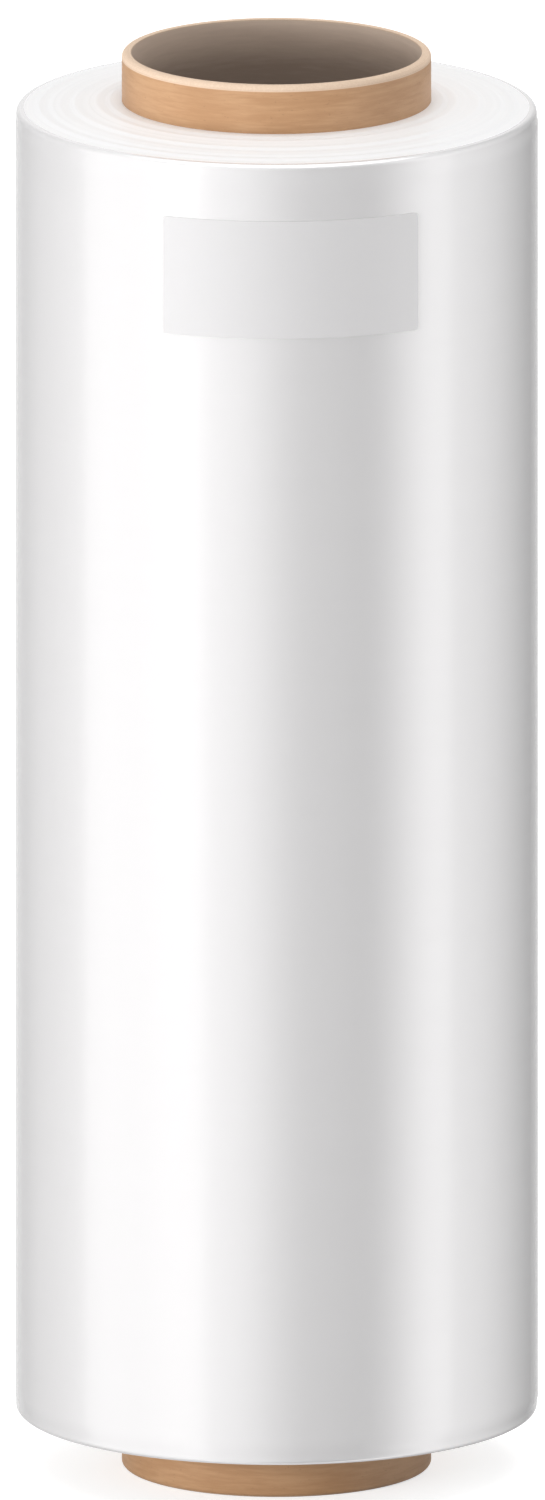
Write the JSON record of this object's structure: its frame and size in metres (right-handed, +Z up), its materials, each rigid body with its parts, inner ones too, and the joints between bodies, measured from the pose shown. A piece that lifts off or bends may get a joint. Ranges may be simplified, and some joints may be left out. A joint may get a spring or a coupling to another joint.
{
  "type": "stretch wrap roll",
  "caption": "Roll of clear stretch film wound on a paper core that stands out past the film at both ends, with a blank label near the top, for wrapping pallets and parcels by hand.",
  "frame": {"origin": "centre of the core's lower end, on the surface that the roll stands on", "axes": "+Z up along the core's axis, -Y towards the side with the label, +X to the right seen from there"},
  "size_m": [0.137, 0.1374, 0.38],
  "materials": {
    "core_paper": "matt brown kraft paper with paler cut ends and a grey-brown bore",
    "film": "clear film, milky white and glossy where it is wound in many turns",
    "label_film": "blank frosted self-adhesive film, satin"
  },
  "bodies": {
    "root": {"core": "core_paper", "film_roll": "film", "label": "label_film"}
  },
  "joints": []
}
